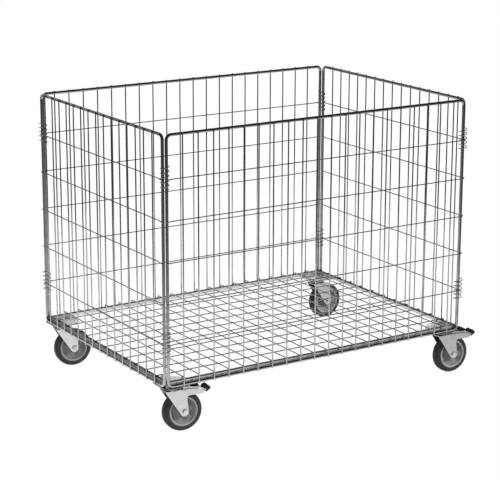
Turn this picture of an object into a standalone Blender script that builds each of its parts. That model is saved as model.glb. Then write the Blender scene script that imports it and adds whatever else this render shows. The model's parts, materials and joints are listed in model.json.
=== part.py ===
"""Wire mesh roll container: four mesh panels laced together by coils on a castor base.

Metres, +Z up, the wheels stand on z = 0 and the front (long) panel faces -Y.
"""
import bpy
import bmesh
from math import cos, pi, radians, sin
from mathutils import Matrix

# ---------------------------------------------------------------- dimensions
MM = 0.001
GAP = 0.35 * MM               # clearance between touching pieces
WELD = 0.35 * MM              # overlap of two wires that are welded together

ROD_X = 553.0 * MM            # half distance between the end panels' rod planes
ROD_Y = 401.0 * MM            # half distance between the side panels' rod planes
CORNER = 8.3 * MM             # set back of each rod from its neighbour's plane
ROD_R = 4.8 * MM              # panel frame rod
ROD_BEND = 15.0 * MM
Z_TOP = 917.5 * MM            # top frame rod centre
Z_BOT = 157.5 * MM            # bottom frame rod centre

LONG_COUNT = 20               # upright wires in a long panel
LONG_PITCH = 52.3 * MM
LONG_FIRST = 50.2 * MM        # left rod to the first upright, seen from outside
SHORT_COUNT = 15              # upright wires in a short panel
SHORT_PITCH = 49.85 * MM
SHORT_FIRST = 38.5 * MM
UPRIGHT_R = 2.0 * MM
UPRIGHT_OVER = 6.0 * MM       # upright ends past the top rod centre
UPRIGHT_UNDER = 5.0 * MM      # and past the bottom rod centre
CROSS_R = 1.7 * MM
CROSS_COUNT = 5
CROSS_PITCH = 125.0 * MM
CROSS_DROP = 130.0 * MM       # top rod to the first cross wire
CROSS_END = 5.5 * MM          # cross wire ends past the side rod centre
OUT_CROSS = 2.2 * MM          # outward offset of the cross wires

COIL_R = 12.6 * MM
COIL_WIRE = 1.35 * MM
COIL_PITCH = 14.0 * MM
COIL_TURNS = 5
COIL_STEPS = 12
COIL_START = 162.7            # heading of the coil where it crosses mid-height
COIL_LIFT = 0.327             # mid-height offset there, in pitches

RAIL_IN = 5.2 * MM            # rod plane to the outer face of the base rails
RAIL_T = 12.0 * MM
RAIL_Z0 = 158.5 * MM
RAIL_Z1 = 170.3 * MM
FLOOR_R = 1.8 * MM
FLOOR_LOW_COUNT = 11          # wires along X, the lower layer
FLOOR_LOW_PITCH = 65.7 * MM
FLOOR_TOP_COUNT = 20          # wires along Y, the upper layer
FLOOR_TOP_PITCH = 51.14 * MM
HOOK_END = 165.2 * MM         # height of the wires' hooked ends

GUSSET_SIZE = 86.0 * MM
GUSSET_CUT = 34.0 * MM
GUSSET_Z0 = 152.6 * MM
GUSSET_Z1 = 158.2 * MM
PLATE_Z0 = 148.8 * MM
PLATE_Z1 = 152.3 * MM
PLATE_SIZE = 82.0 * MM
KING_IN = 38.0 * MM           # rod planes to the swivel axis
STUD_R = 3.8 * MM
STUD_Z1 = 170.0 * MM
STUDS = ((36.0 * MM, -8.0 * MM), (-8.0 * MM, 36.0 * MM))
NUT_R = 7.5 * MM
NUT_H = 7.0 * MM

WHEEL_R = 62.5 * MM
TYRE_HALF = 16.0 * MM
TYRE_IN = 47.0 * MM
AXLE_R = 5.5 * MM
TRAIL = 35.0 * MM
LEG_IN = 20.4 * MM            # castor centre to the inner face of a fork leg
LEG_T = 2.6 * MM
CROWN_Z0 = 132.2 * MM
CROWN_Z1 = 135.0 * MM
RACE_R = 28.5 * MM
RACE_Z = 142.6 * MM
PIN_U = 37.0 * MM             # brake pin, along the trail from the swivel axis
PIN_Z = 129.5 * MM
PIN_R = 2.5 * MM

CASTORS = {
    # name: (x sign, y sign, heading of the trail in degrees, braked)
    "FL": (-1, -1, -6.0, True),
    "FR": (1, -1, -3.0, True),
    "BL": (-1, 1, -8.0, False),
    "BR": (1, 1, 1.0, False),
}
COIL_TURN = {"FL": 0, "FR": 90, "BR": 180, "BL": 270}

# ----------------------------------------------------------------- the scene
for old in list(bpy.data.objects):
    bpy.data.objects.remove(old, do_unlink=True)

roll_container = bpy.data.collections.new("roll_container")
bpy.context.scene.collection.children.link(roll_container)


def material(name, colour, metallic, roughness):
    mat = bpy.data.materials.new(name)
    mat.use_nodes = True
    shader = mat.node_tree.nodes["Principled BSDF"]
    shader.inputs["Base Color"].default_value = (*colour, 1.0)
    shader.inputs["Metallic"].default_value = metallic
    shader.inputs["Roughness"].default_value = roughness
    mat.diffuse_color = (*colour, 1.0)
    return mat


WIRE = material("zinc_plated_wire", (0.62, 0.63, 0.64), 1.0, 0.32)
BAR = material("zinc_plated_bar", (0.56, 0.57, 0.58), 1.0, 0.36)
SPRING = material("zinc_plated_spring", (0.58, 0.58, 0.58), 1.0, 0.30)
STEEL = material("zinc_plated_pressing", (0.70, 0.71, 0.72), 1.0, 0.38)
BOLT = material("bright_fastener", (0.75, 0.75, 0.76), 1.0, 0.25)
RUBBER = material("dark_grey_rubber", (0.045, 0.045, 0.045), 0.0, 0.75)
PLASTIC = material("grey_hub_plastic", (0.19, 0.19, 0.19), 0.0, 0.55)
BLACK = material("black_plastic", (0.012, 0.012, 0.012), 0.0, 0.5)


# ------------------------------------------------------------------- helpers
def piece(name, mesh, mat):
    """A named object in the model's collection with one material."""
    mesh.materials.clear()
    mesh.materials.append(mat)
    obj = bpy.data.objects.new(name, mesh)
    roll_container.objects.link(obj)
    return obj


def baked(obj):
    """Replace a curve or a modified object by its evaluated mesh, closed up."""
    graph = bpy.context.evaluated_depsgraph_get()
    graph.update()
    mesh = bpy.data.meshes.new_from_object(obj.evaluated_get(graph))
    bm = bmesh.new()
    bm.from_mesh(mesh)
    bmesh.ops.remove_doubles(bm, verts=bm.verts, dist=0.02 * MM)
    bmesh.ops.recalc_face_normals(bm, faces=bm.faces)
    bm.to_mesh(mesh)
    bm.free()
    name = obj.name
    obj.name = name + "_source"
    new = piece(name, mesh, obj.active_material)
    bpy.data.objects.remove(obj, do_unlink=True)
    return new


def smooth(obj, angle=35):
    obj.data.shade_smooth()
    obj.data.set_sharp_from_angle(angle=radians(angle))
    return obj


def curve_object(name, paths, mat, closed):
    curve = bpy.data.curves.new(name, "CURVE")
    curve.dimensions = "3D"
    for path in paths:
        spline = curve.splines.new("POLY")
        spline.points.add(len(path) - 1)
        for point, place in zip(spline.points, path):
            point.co = (*place, 1.0)
        spline.use_cyclic_u = closed
    curve.materials.append(mat)
    obj = bpy.data.objects.new(name, curve)
    roll_container.objects.link(obj)
    return obj


def wire(name, paths, radius, mat, resolution=0, closed=False):
    """Round wires along one or more paths."""
    obj = curve_object(name, paths, mat, closed)
    obj.data.bevel_depth = radius
    obj.data.bevel_resolution = resolution
    obj.data.use_fill_caps = not closed
    return baked(obj)


def plate(name, outlines, thickness, mat, centre=0.0, upright=False):
    """A flat piece from closed 2-D outlines; inner outlines become holes."""
    paths = [[(a, b, 0.0) for a, b in outline] for outline in outlines]
    obj = curve_object(name, paths, mat, True)
    obj.data.dimensions = "2D"
    obj.data.fill_mode = "BOTH"
    obj.data.extrude = thickness / 2
    obj = baked(obj)
    obj.data.transform(Matrix.Translation((0, 0, centre)))
    if upright:
        obj.data.transform(Matrix.Rotation(radians(90), 4, "X"))
    return obj


def cylinder(name, radius, z0, z1, sides, mat, at=(0.0, 0.0), across=False):
    """A bar along Z, or along Y when across; at is its centre line."""
    bm = bmesh.new()
    bmesh.ops.create_cone(bm, cap_ends=True, segments=sides, radius1=radius,
                          radius2=radius, depth=z1 - z0)
    bmesh.ops.translate(bm, verts=bm.verts, vec=(at[0], -at[1] if across else at[1],
                                                 (z0 + z1) / 2))
    if across:
        bmesh.ops.rotate(bm, verts=bm.verts, matrix=Matrix.Rotation(radians(-90), 3, "X"))
    mesh = bpy.data.meshes.new(name)
    bm.to_mesh(mesh)
    bm.free()
    return piece(name, mesh, mat)


def turned(name, profile, steps, mat, closed=True, at=(0.0, 0.0)):
    """A profile of (radius, height) points revolved about Z with a Screw."""
    mesh = bpy.data.meshes.new(name)
    count = len(profile)
    edges = [(i, (i + 1) % count) for i in range(count if closed else count - 1)]
    mesh.from_pydata([(r, 0.0, z) for r, z in profile], edges, [])
    obj = piece(name, mesh, mat)
    screw = obj.modifiers.new("screw", "SCREW")
    screw.axis = "Z"
    screw.angle = 2 * pi
    screw.steps = steps
    screw.render_steps = steps
    screw.use_merge_vertices = True
    screw.merge_threshold = 0.01 * MM
    obj = baked(obj)
    obj.data.transform(Matrix.Translation((at[0], at[1], 0)))
    return obj


def combine(obj, other, operation):
    """Join or cut one object by another, which is used up."""
    mod = obj.modifiers.new("combine", "BOOLEAN")
    mod.operation = operation
    mod.solver = "EXACT"
    mod.object = other
    obj = baked(obj)
    bpy.data.objects.remove(other, do_unlink=True)
    return obj


def join(obj, *others):
    for other in others:
        obj = combine(obj, other, "UNION")
    return obj


def cut(obj, *others):
    for other in others:
        obj = combine(obj, other, "DIFFERENCE")
    return obj


def arc(cx, cy, radius, start, end, steps):
    """Points on an arc; angles in degrees."""
    turns = [radians(start + (end - start) * i / steps) for i in range(steps + 1)]
    return [(cx + radius * cos(a), cy + radius * sin(a)) for a in turns]


def circle(cx, cy, radius, sides):
    return arc(cx, cy, radius, 180 / sides, 360 + 180 / sides, sides)[:-1]


def scaled(points):
    return [(a * MM, b * MM) for a, b in points]


# -------------------------------------------------------------------- panels
def panel(name, half, first, pitch, count, place, heading):
    """Outward is -Y in the panel's own space; its left end is at x = -half."""
    rim = []
    for cx, cz, start in ((1, 0, -90), (1, 1, 0), (-1, 1, 90), (-1, 0, 180)):
        x = cx * (half - ROD_BEND)
        z = Z_TOP - ROD_BEND if cz else Z_BOT + ROD_BEND
        rim += [(a, 0.0, b) for a, b in arc(x, z, ROD_BEND, start, start + 90, 4)]
    frame = wire(name, [rim], ROD_R, WIRE, resolution=2, closed=True)

    out = -(ROD_R + UPRIGHT_R - WELD)
    uprights = []
    for i in range(count):
        x = -half + first + pitch * i
        uprights.append([(x, out, Z_BOT - UPRIGHT_UNDER), (x, out, Z_TOP + UPRIGHT_OVER)])
    uprights = wire(name + "_uprights", uprights, UPRIGHT_R, WIRE)

    end_out = -(ROD_R + CROSS_R - WELD)
    crosses = []
    for i in range(CROSS_COUNT):
        z = Z_TOP - CROSS_DROP - CROSS_PITCH * i
        left = [(-half - CROSS_END, end_out, z), (-half + 8 * MM, end_out, z),
                (-half + 20 * MM, -OUT_CROSS, z)]
        crosses.append(left + [(-x, y, h) for x, y, h in left[::-1]])
    crosses = wire(name + "_crosses", crosses, CROSS_R, WIRE)

    obj = smooth(join(frame, uprights, crosses))
    obj.location = place
    obj.rotation_euler = (0, 0, radians(heading))
    return obj


def panels():
    long_side = (ROD_X - CORNER, LONG_FIRST, LONG_PITCH, LONG_COUNT)
    short_side = (ROD_Y - CORNER, SHORT_FIRST, SHORT_PITCH, SHORT_COUNT)
    panel("panel_front", *long_side, (0, -ROD_Y, 0), 0)
    panel("panel_back", *long_side, (0, ROD_Y, 0), 180)
    panel("panel_left", *short_side, (-ROD_X, 0, 0), -90)
    panel("panel_right", *short_side, (ROD_X, 0, 0), 90)


# --------------------------------------------------------------------- coils
def coil(name, corner, z_mid, heading):
    """A helix round two panel rods; the cross wire ends pass between its turns."""
    path = []
    total = COIL_TURNS * COIL_STEPS
    for i in range(total + 1):
        turn = (i - total / 2) / COIL_STEPS
        angle = radians(COIL_START) + 2 * pi * turn
        z = COIL_PITCH * (turn + COIL_LIFT)
        path.append((COIL_R * cos(angle), COIL_R * sin(angle), z))
    obj = smooth(wire(name, [path], COIL_WIRE, SPRING), 50)
    obj.location = (*corner, z_mid)
    obj.rotation_euler = (0, 0, radians(heading))
    return obj


def coils():
    top = Z_TOP - CROSS_DROP
    low = top - CROSS_PITCH * (CROSS_COUNT - 1)
    for tag, heading in COIL_TURN.items():
        sx, sy = CASTORS[tag][:2]
        corner = (sx * (ROD_X - CORNER / 2), sy * (ROD_Y - CORNER / 2))
        coil("coil_" + tag + "_upper", corner, top, heading)
        coil("coil_" + tag + "_lower", corner, low, heading)


# ------------------------------------------------------------ base and floor
def rail(name, length, place, heading):
    """A square bar with eased edges; inboard is +Y in its own space."""
    bm = bmesh.new()
    bmesh.ops.create_cube(bm, size=1.0)
    bmesh.ops.scale(bm, verts=bm.verts, vec=(length, RAIL_T, RAIL_Z1 - RAIL_Z0))
    long_edges = [e for e in bm.edges if abs(e.verts[0].co.x - e.verts[1].co.x) > length / 2]
    bmesh.ops.bevel(bm, geom=long_edges, offset=1.6 * MM, segments=1, affect="EDGES")
    bmesh.ops.translate(bm, verts=bm.verts,
                        vec=(0, RAIL_IN + RAIL_T / 2, (RAIL_Z0 + RAIL_Z1) / 2))
    mesh = bpy.data.meshes.new(name)
    bm.to_mesh(mesh)
    bm.free()
    obj = piece(name, mesh, BAR)
    obj.location = place
    obj.rotation_euler = (0, 0, radians(heading))
    return obj


def rails():
    long_rail = 2 * (ROD_X - RAIL_IN)
    short_rail = 2 * (ROD_Y - RAIL_IN - RAIL_T - GAP)
    rail("base_rail_front", long_rail, (0, -ROD_Y, 0), 0)
    rail("base_rail_back", long_rail, (0, ROD_Y, 0), 180)
    rail("base_rail_left", short_rail, (-ROD_X, 0, 0), -90)
    rail("base_rail_right", short_rail, (ROD_X, 0, 0), 90)


def hooked(half, z):
    """A straight wire whose ends turn down outside the rails, as (across, z)."""
    bend = 2.2 * MM
    left = [(-half, HOOK_END), (-half, z - bend), (-half + bend, z)]
    return left + [(-a, b) for a, b in left[::-1]]


def floor_grid():
    """Two layers of wires, welded where the outermost ones cross the others."""
    low_z = RAIL_Z1 + FLOOR_R + GAP
    top_z = low_z + 2 * FLOOR_R + GAP
    reach_x = ROD_X - RAIL_IN + FLOOR_R + GAP
    reach_y = ROD_Y - RAIL_IN + FLOOR_R + GAP
    lower = []
    for i in range(FLOOR_LOW_COUNT):
        y = FLOOR_LOW_PITCH * (i - (FLOOR_LOW_COUNT - 1) / 2)
        z = low_z + (GAP + 2 * WELD if i in (0, FLOOR_LOW_COUNT - 1) else 0)
        lower.append([(a, y, b) for a, b in hooked(reach_x, z)])
    upper = []
    for i in range(FLOOR_TOP_COUNT):
        x = FLOOR_TOP_PITCH * (i - (FLOOR_TOP_COUNT - 1) / 2)
        z = top_z - (GAP + 2 * WELD if i in (0, FLOOR_TOP_COUNT - 1) else 0)
        upper.append([(x, a, b) for a, b in hooked(reach_y, z)])
    grid = wire("floor_grid", lower, FLOOR_R, WIRE)
    return smooth(join(grid, wire("floor_upper", upper, FLOOR_R, WIRE)))


# ------------------------------------------------------------------- castors
def leg_outline(braked):
    """Side view of a fork leg: (along the trail, height)."""
    foot = arc(TRAIL, WHEEL_R, 13.0 * MM, 213, 360, 6)
    if braked:
        back = scaled([(44.2, 100)])
        back += arc(52.0 * MM, 107.0 * MM, 7.5 * MM, 180, 95, 3)
        back += scaled([(84, 113.6), (95, 115.4), (100, 119.5), (99, 125.5), (66, 133.4)])
        back += [(28 * MM, CROWN_Z1)]
    else:
        back = scaled([(43.5, 108), (38, 126)]) + [(30 * MM, CROWN_Z1)]
    front = [(-30 * MM, CROWN_Z1), (-30 * MM, CROWN_Z1 - 4 * MM)]
    return front + foot + back


def into_corner(obj, sx, sy):
    """Turn a mesh drawn in the inboard quadrant into its corner of the base."""
    obj.data.transform(Matrix.Diagonal((-sx, -sy, 1, 1)))
    if sx * sy < 0:
        obj.data.flip_normals()
    obj.location = (sx * ROD_X, sy * ROD_Y, 0)
    return obj


def corner_plate(tag, sx, sy):
    near = RAIL_IN
    far = near + GUSSET_SIZE
    bevel = far - GUSSET_CUT
    outline = [(near, near), (far, near), (far, bevel), (bevel, far), (near, far)]
    holes = [circle(KING_IN + a, KING_IN + b, STUD_R + GAP, 8) for a, b in STUDS]
    obj = plate("corner_plate_" + tag, [outline] + holes, GUSSET_Z1 - GUSSET_Z0, STEEL,
                (GUSSET_Z0 + GUSSET_Z1) / 2)
    return into_corner(obj, sx, sy)


def castor_plate(tag, sx, sy):
    """Mounting plate with the upper ball race, the swivel rivet and the studs."""
    bm = bmesh.new()
    bmesh.ops.create_cube(bm, size=1.0)
    bmesh.ops.scale(bm, verts=bm.verts, vec=(PLATE_SIZE, PLATE_SIZE, PLATE_Z1 - PLATE_Z0))
    uprights = [e for e in bm.edges if abs(e.verts[0].co.z - e.verts[1].co.z) > MM]
    bmesh.ops.bevel(bm, geom=uprights, offset=6 * MM, segments=2, affect="EDGES", profile=0.5)
    bmesh.ops.translate(bm, verts=bm.verts, vec=(KING_IN, KING_IN, (PLATE_Z0 + PLATE_Z1) / 2))
    mesh = bpy.data.meshes.new("castor_" + tag + "_plate")
    bm.to_mesh(mesh)
    bm.free()
    obj = piece(mesh.name, mesh, STEEL)

    stem = 6 * MM
    race = [(0, PLATE_Z1 - MM), (24 * MM, PLATE_Z1 - MM), (24 * MM, 148 * MM),
            (RACE_R, 146.4 * MM), (RACE_R, RACE_Z), (stem, RACE_Z), (stem, 131.4 * MM),
            (10 * MM, 131.4 * MM), (8.5 * MM, 127.6 * MM), (0, 127.6 * MM)]
    extras = [turned("race", race, 16, STEEL, False, (KING_IN, KING_IN))]
    for a, b in STUDS:
        extras.append(cylinder("stud", STUD_R, PLATE_Z1 - MM, STUD_Z1, 8, STEEL,
                               (KING_IN + a, KING_IN + b)))
    return smooth(into_corner(join(obj, *extras), sx, sy))


def nuts(tag, sx, sy):
    for number, (a, b) in enumerate(STUDS, 1):
        z0 = GUSSET_Z1 + GAP
        name = "nut_" + tag + "_" + str(number)
        hexagon = arc(0, 0, NUT_R, 0, 300, 5)
        obj = plate(name, [hexagon, circle(0, 0, STUD_R + GAP, 8)], NUT_H, BOLT, z0 + NUT_H / 2)
        obj.location = (sx * (ROD_X - KING_IN - a), sy * (ROD_Y - KING_IN - b), 0)


def fork(tag, braked, swivel):
    hole = circle(TRAIL, WHEEL_R, AXLE_R + GAP, 12)
    legs = []
    for side in (-1, 1):
        legs.append(plate("leg", [leg_outline(braked), hole], LEG_T, STEEL,
                          side * (LEG_IN + LEG_T / 2), upright=True))
    half = LEG_IN + LEG_T - 0.5 * MM
    nose = arc(0, 0, RACE_R, 128, 232, 6)
    crown = plate("castor_" + tag + "_fork", [nose + [(26 * MM, -half), (26 * MM, half)]],
                  CROWN_Z1 - CROWN_Z0, STEEL, (CROWN_Z0 + CROWN_Z1) / 2)
    race = [(27 * MM, 142.1 * MM), (27 * MM, 139 * MM), (23 * MM, CROWN_Z1 - MM),
            (15 * MM, CROWN_Z1 - MM), (15 * MM, 142.1 * MM)]
    obj = join(crown, *legs, turned("race", race, 16, STEEL))
    obj = cut(obj, cylinder("bore", 7.2 * MM, CROWN_Z0 - MM, CROWN_Z1 + MM, 12, STEEL))
    if braked:
        half = LEG_IN + LEG_T + MM
        obj = join(obj, cylinder("pin", PIN_R, -half, half, 10, STEEL, (PIN_U, PIN_Z), True))
    obj.parent = swivel
    return smooth(obj)


def axle(tag, swivel):
    """Axle bolt with its head on one side and the nut on the other."""
    centre = (TRAIL, WHEEL_R)
    face = LEG_IN + LEG_T + GAP
    obj = cylinder("castor_" + tag + "_axle", AXLE_R, -29 * MM, 28.5 * MM, 12, BOLT, centre, True)
    head = cylinder("head", 9.2 * MM, -face - 5.5 * MM, -face, 6, BOLT, centre, True)
    nut = cylinder("nut", 9.2 * MM, face, face + 5 * MM, 6, BOLT, centre, True)
    obj = join(obj, head, nut)
    obj.parent = swivel
    return smooth(obj)


def wheel(tag, centre):
    """Rubber tyre on a plastic hub, both turned and laid on the axle."""
    w = TYRE_HALF
    r = WHEEL_R
    shoulder = [(r, w - 10 * MM), (r - 1.8 * MM, w - 4.6 * MM), (r - 6 * MM, w - 0.8 * MM),
                (TYRE_IN + 2.5 * MM, w)]
    side = shoulder + [(TYRE_IN, w - 2 * MM)]
    lower = [(a, -b) for a, b in side[::-1]]
    tyre = turned("castor_" + tag + "_tyre", side[::-1] + lower[::-1], 28, RUBBER)
    boss = LEG_IN - 0.5 * MM
    half = [(AXLE_R + GAP, boss), (13 * MM, boss), (14 * MM, 8 * MM), (38 * MM, 8 * MM),
            (40.5 * MM, 14 * MM), (TYRE_IN - GAP, 14 * MM)]
    hub = turned("castor_" + tag + "_hub", half + [(a, -b) for a, b in half[::-1]], 20, PLASTIC)
    for obj in (tyre, hub):
        obj.data.transform(Matrix.Rotation(radians(90), 4, "X"))
        obj.parent = centre
        smooth(obj, 30)


def brake(tag, pivot):
    """Rocker lever with its two pads; coordinates run from the pin."""
    wide = LEG_IN - 0.4 * MM
    tread = scaled([(-6, 8), (24, 8), (50, 3.2), (70.5, -8.2), (71.8, -6), (50.6, 5.6),
                    (24, 10.4), (-6, 10.4)])
    cheek = scaled([(-6, 9), (-6, -1), (-3.6, -3.8), (6, -3.8), (12, 1), (48, 1.4),
                    (48, 4.5), (24, 9)])
    shoe = scaled([(15, 9), (15, -3.4), (27, -4.4), (27, 9)])
    hole = circle(0, 0, PIN_R + GAP, 10)
    lever = plate("castor_" + tag + "_brake_lever", [tread], 2 * wide, STEEL, upright=True)
    extras = [plate("shoe", [shoe], 18 * MM, STEEL, upright=True)]
    for side in (-1, 1):
        extras.append(plate("cheek", [cheek, hole], 2 * MM, STEEL, side * (wide - MM), True))
    lever = join(lever, *extras)
    inner = scaled([(28.5, 10.7), (47, 7.4), (48, 10.5), (44, 14.5), (30, 15.1)])
    outer = scaled([(72.4, -12.6), (86.6, -3.6), (80.6, 2.2), (70.2, -1.6), (70.6, -4.8),
                    (72.8, -6)])
    inner = plate("castor_" + tag + "_pad_inner", [inner], 24 * MM, BLACK, upright=True)
    outer = plate("castor_" + tag + "_pad_outer", [outer], 31 * MM, BLACK, upright=True)
    for obj in (lever, inner, outer):
        obj.parent = pivot


def axis_empty(name, place, parent=None, heading=0.0):
    empty = bpy.data.objects.new(name, None)
    roll_container.objects.link(empty)
    empty.parent = parent
    empty.location = place
    empty.rotation_euler = (0, 0, radians(heading))
    return empty


def castors():
    for tag, (sx, sy, heading, braked) in CASTORS.items():
        king = (sx * (ROD_X - KING_IN), sy * (ROD_Y - KING_IN), 0)
        corner_plate(tag, sx, sy)
        castor_plate(tag, sx, sy)
        nuts(tag, sx, sy)
        swivel = axis_empty("castor_" + tag + "_swivel_axis", king, None, heading)
        fork(tag, braked, swivel)
        axle(tag, swivel)
        wheel(tag, axis_empty("castor_" + tag + "_wheel_axis", (TRAIL, 0, WHEEL_R), swivel))
        if braked:
            brake(tag, axis_empty("castor_" + tag + "_brake_axis", (PIN_U, 0, PIN_Z), swivel))


def centre_on_origin():
    """One pedal reaches past the panels, so the whole box is centred here."""
    bpy.context.view_layer.update()
    solids = [obj for obj in roll_container.objects if obj.type == "MESH"]
    corners = [obj.matrix_world @ v.co for obj in solids for v in obj.data.vertices]
    for axis in (0, 1):
        values = [corner[axis] for corner in corners]
        middle = (min(values) + max(values)) / 2
        for obj in roll_container.objects:
            if obj.parent is None:
                obj.location[axis] -= middle


panels()
coils()
rails()
floor_grid()
castors()
centre_on_origin()
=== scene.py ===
"""Looks of a wire mesh roll container: bright zinc wire, pressed castors, rubber wheels."""
import bpy
import bmesh
import json
from math import atan2, cos, pi, radians, sin
from mathutils import Matrix, Vector
from bpy.props import FloatProperty, FloatVectorProperty, IntProperty, PointerProperty


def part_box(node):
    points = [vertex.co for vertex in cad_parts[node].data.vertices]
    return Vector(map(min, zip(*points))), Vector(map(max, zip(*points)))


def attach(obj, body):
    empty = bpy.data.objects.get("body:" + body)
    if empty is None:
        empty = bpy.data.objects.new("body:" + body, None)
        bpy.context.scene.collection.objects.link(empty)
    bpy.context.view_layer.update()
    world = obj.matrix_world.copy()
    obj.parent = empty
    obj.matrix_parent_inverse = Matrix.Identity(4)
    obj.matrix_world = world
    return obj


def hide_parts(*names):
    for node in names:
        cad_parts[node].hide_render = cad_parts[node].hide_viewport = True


bl_info = {
    "name": "Roll container looks",
    "version": (1, 0, 0),
    "blender": (4, 5, 0),
    "location": "View3D > Sidebar > Roll container",
    "description": "Builds the visible pieces of a wire mesh roll container around its frame",
    "category": "Object",
}

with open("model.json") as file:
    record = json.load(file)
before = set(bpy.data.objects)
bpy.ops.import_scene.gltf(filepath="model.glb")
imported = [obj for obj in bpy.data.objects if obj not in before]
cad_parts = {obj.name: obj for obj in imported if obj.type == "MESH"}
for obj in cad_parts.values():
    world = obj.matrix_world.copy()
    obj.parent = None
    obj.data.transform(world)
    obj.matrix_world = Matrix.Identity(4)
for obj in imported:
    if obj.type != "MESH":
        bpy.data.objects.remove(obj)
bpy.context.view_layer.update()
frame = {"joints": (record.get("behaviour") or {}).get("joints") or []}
MM = 0.001
CAGE = "cage"
JOINTS = {joint["name"]: joint for joint in frame["joints"]}
CORNERS = {"FL": (-1, -1), "FR": (1, -1), "BL": (-1, 1), "BR": (1, 1)}
BRAKED = [tag for tag in CORNERS if "castor_" + tag + "_brake" in JOINTS]
COIL_TURN = {"FL": 0, "FR": 90, "BR": 180, "BL": 270}
STUDS = ((36.0 * MM, -8.0 * MM), (-8.0 * MM, 36.0 * MM))
BROAD_FACE = 3 * MM


# ================================================================ settings
def length(name, text, value, low=0.0001, high=1.0):
    return FloatProperty(name=name, description=text, default=value * MM, min=low,
                         max=high, unit="LENGTH", subtype="DISTANCE", precision=4)


def shade(name, text, value):
    return FloatVectorProperty(name=name, description=text, default=value, size=3,
                               min=0.0, max=1.0, subtype="COLOR")


class MeshPanelSettings(bpy.types.PropertyGroup):
    rod: length("Frame rod", "Radius of the rod round each panel", 4.8)
    bend: length("Rod bend", "Centreline radius of the frame's corners", 15.0)
    upright: length("Upright wire", "Radius of the upright wires", 2.0)
    cross: length("Cross wire", "Radius of the cross wires", 1.7)
    over: length("Upright over", "Upright wire past the top rod's centre", 6.0)
    under: length("Upright under", "Upright wire past the bottom rod's centre", 5.0)
    ends: length("Cross end", "Cross wire past the side rod's centre", 5.5)
    sink: length("Weld sink", "Depth that welded wires sink into each other", 0.35)
    long_count: IntProperty(name="Long panel wires", default=20, min=2,
                            description="Upright wires in a long panel")
    long_pitch: length("Long pitch", "Spacing of the uprights in a long panel", 52.3)
    long_first: length("Long first", "Side rod to the first upright, long panel", 50.2)
    short_count: IntProperty(name="Short panel wires", default=15, min=2,
                             description="Upright wires in a short panel")
    short_pitch: length("Short pitch", "Spacing of the uprights in a short panel", 49.85)
    short_first: length("Short first", "Side rod to the first upright, short panel", 38.5)
    cross_count: IntProperty(name="Cross wires", default=5, min=1,
                             description="Cross wires in every panel")
    cross_pitch: length("Cross pitch", "Spacing of the cross wires", 125.0)
    cross_drop: length("Cross drop", "Top rod to the first cross wire", 130.0)


class CoilSettings(bpy.types.PropertyGroup):
    radius: length("Coil radius", "Mean radius of the lacing coils", 12.6)
    wire: length("Coil wire", "Radius of the coil's wire", 1.35)
    pitch: length("Coil pitch", "Rise of one turn", 14.0)
    turns: IntProperty(name="Turns", default=5, min=1, description="Turns in each coil")
    corner: length("Corner set back", "Set back of each rod from its neighbour", 8.3)


class BaseSettings(bpy.types.PropertyGroup):
    wire: length("Floor wire", "Radius of the floor wires", 1.8)
    low_count: IntProperty(name="Lower wires", default=11, min=2,
                           description="Floor wires along the length")
    low_pitch: length("Lower pitch", "Spacing of the lower floor wires", 65.7)
    top_count: IntProperty(name="Upper wires", default=20, min=2,
                           description="Floor wires across the width")
    top_pitch: length("Upper pitch", "Spacing of the upper floor wires", 51.14)
    plate_edge: length("Plate edge", "Rounding of the corner plates' edges", 0.7)


class CastorSettings(bpy.types.PropertyGroup):
    wheel: length("Wheel", "Radius of the wheel", 62.5)
    tyre_half: length("Tyre half width", "Half the width of the tyre", 16.0)
    tyre_in: length("Tyre seat", "Radius where the tyre meets the hub", 47.0)
    trail: length("Trail", "Swivel axis to axle", 35.0)
    leg_in: length("Leg gap", "Castor centre to the inner face of a leg", 20.4)
    leg: length("Leg sheet", "Thickness of the fork's sheet", 2.6)
    crown_low: length("Crown underside", "Height of the crown's underside", 132.2)
    crown_top: length("Crown top", "Height of the crown's top", 135.0)
    race: length("Race", "Radius of the upper ball race", 28.5)
    axle: length("Axle", "Radius of the axle", 5.5)
    pin_u: length("Pin place", "Swivel axis to the brake pin", 37.0)
    pin_z: length("Pin height", "Height of the brake pin", 129.5)


class FinishSettings(bpy.types.PropertyGroup):
    zinc: shade("Zinc wire", "Colour of the plated wire", (0.60, 0.60, 0.60))
    zinc_dull: shade("Dull zinc", "Colour of the duller patches", (0.44, 0.44, 0.44))
    bar: shade("Base bars", "Colour of the base bars", (0.88, 0.88, 0.87))
    sheet: shade("Pressed sheet", "Colour of the plated pressings", (0.72, 0.72, 0.72))
    sheet_dull: shade("Dull sheet", "Colour of their duller patches", (0.66, 0.66, 0.655))
    rubber: shade("Rubber", "Colour of the tyres", (0.034, 0.034, 0.033))
    hub: shade("Hub", "Colour of the wheel hubs", (0.23, 0.23, 0.23))
    hub_light: shade("Hub ring", "Colour of the hubs' worn rim", (0.36, 0.36, 0.355))
    pedal: shade("Pedal", "Colour of the brake pads", (0.010, 0.010, 0.010))


class StageSettings(bpy.types.PropertyGroup):
    reach: FloatProperty(name="Lit floor", default=1.65, min=0.1, unit="LENGTH",
                         description="Distance at which the floor's light has halved")
    lens: FloatProperty(name="Lens", default=125.97, min=10.0,
                        description="Focal length in millimetres on a 36 mm sensor")


SETTINGS = {
    "container_mesh": MeshPanelSettings,
    "container_coil": CoilSettings,
    "container_base": BaseSettings,
    "container_castor": CastorSettings,
    "container_finish": FinishSettings,
    "container_stage": StageSettings,
}


def sizes(name):
    return getattr(bpy.context.scene, "container_" + name)


# ============================================================ shape helpers
def collection():
    found = bpy.data.collections.get("roll_container_looks")
    if found is None:
        found = bpy.data.collections.new("roll_container_looks")
        bpy.context.scene.collection.children.link(found)
    return found


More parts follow.
